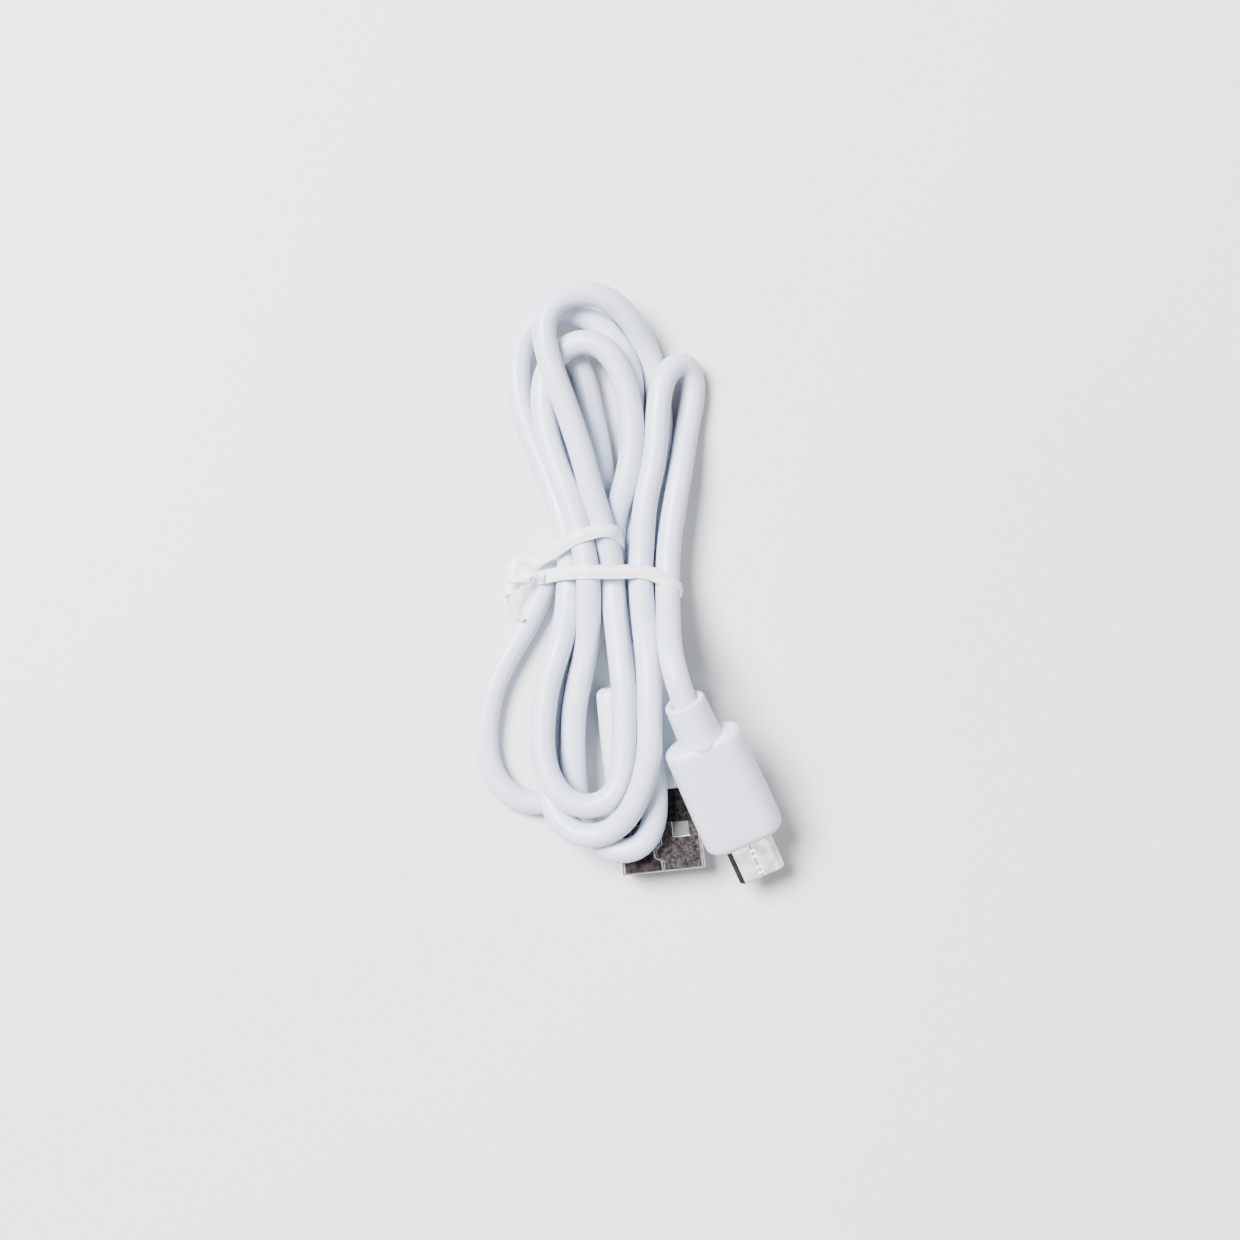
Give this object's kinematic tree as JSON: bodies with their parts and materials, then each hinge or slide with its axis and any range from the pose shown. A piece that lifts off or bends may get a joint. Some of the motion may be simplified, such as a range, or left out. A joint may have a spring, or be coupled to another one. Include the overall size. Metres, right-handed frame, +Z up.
{
  "type": "charging cable",
  "caption": "White charging cable with a large flat plug and a small latching plug, folded into a hank and held by a twist tie.",
  "frame": {"origin": "centre of the underside of the large plug, on the surface that the cable lies on", "axes": "+Y from the large plug's mouth towards its cord, +Z up from the surface, X across the large plug"},
  "size_m": [0.0427, 0.0875, 0.0179],
  "materials": {
    "plug_shell": "satin nickel-plated sheet",
    "insulator_white": "smooth moulded",
    "insulator_black": "smooth moulded",
    "contact_gold": "gold plated",
    "inner_mould": "moulded",
    "grip_white": "satin moulded",
    "crimp_tin": "tin plated",
    "wire_red": "extruded",
    "wire_white": "extruded",
    "wire_green": "extruded",
    "wire_black": "extruded",
    "latch_steel": "spring steel",
    "cord_white": "satin extruded jacket",
    "tie_white": "satin flat ribbon",
    "tie_core": "soft wire"
  },
  "bodies": {
    "cable": {"usb_a_shell": "plug_shell", "usb_a_contact_carrier": "insulator_white", "usb_a_contacts": "contact_gold", "usb_a_inner_mould": "inner_mould", "usb_a_grip": "grip_white", "usb_a_sleeve": "grip_white", "usb_a_crimp": "crimp_tin", "usb_a_wire_red": "wire_red", "usb_a_wire_white": "wire_white", "usb_a_wire_green": "wire_green", "usb_a_wire_black": "wire_black", "micro_shell": "plug_shell", "micro_contact_carrier": "insulator_black", "micro_contacts": "contact_gold", "micro_inner_mould": "inner_mould", "micro_grip": "grip_white", "micro_sleeve": "grip_white", "micro_crimp": "crimp_tin", "micro_wire_red": "wire_red", "micro_wire_white": "wire_white", "micro_wire_green": "wire_green", "micro_wire_black": "wire_black", "cord_hank": "cord_white", "cord_end_usb_a": "cord_white", "cord_end_micro": "cord_white", "tie_ribbon": "tie_white", "tie_wire": "tie_core"},
    "latch_left": {"micro_latch_left": "latch_steel"},
    "latch_right": {"micro_latch_right": "latch_steel"}
  },
  "joints": [
    {"name": "latch_left_press", "type": "hinge", "parent": "cable", "child": "latch_left", "pos_m": [0.00904, -0.01169, 0.00755], "axis": [-0.9515, -0.3058, -0.0328], "range_deg": [0, 3.1], "stiffness_Nm_per_rad": 0.4},
    {"name": "latch_right_press", "type": "hinge", "parent": "cable", "child": "latch_right", "pos_m": [0.0138, -0.01016, 0.00771], "axis": [-0.9515, -0.3058, -0.0328], "range_deg": [0, 3.1], "stiffness_Nm_per_rad": 0.4}
  ]
}
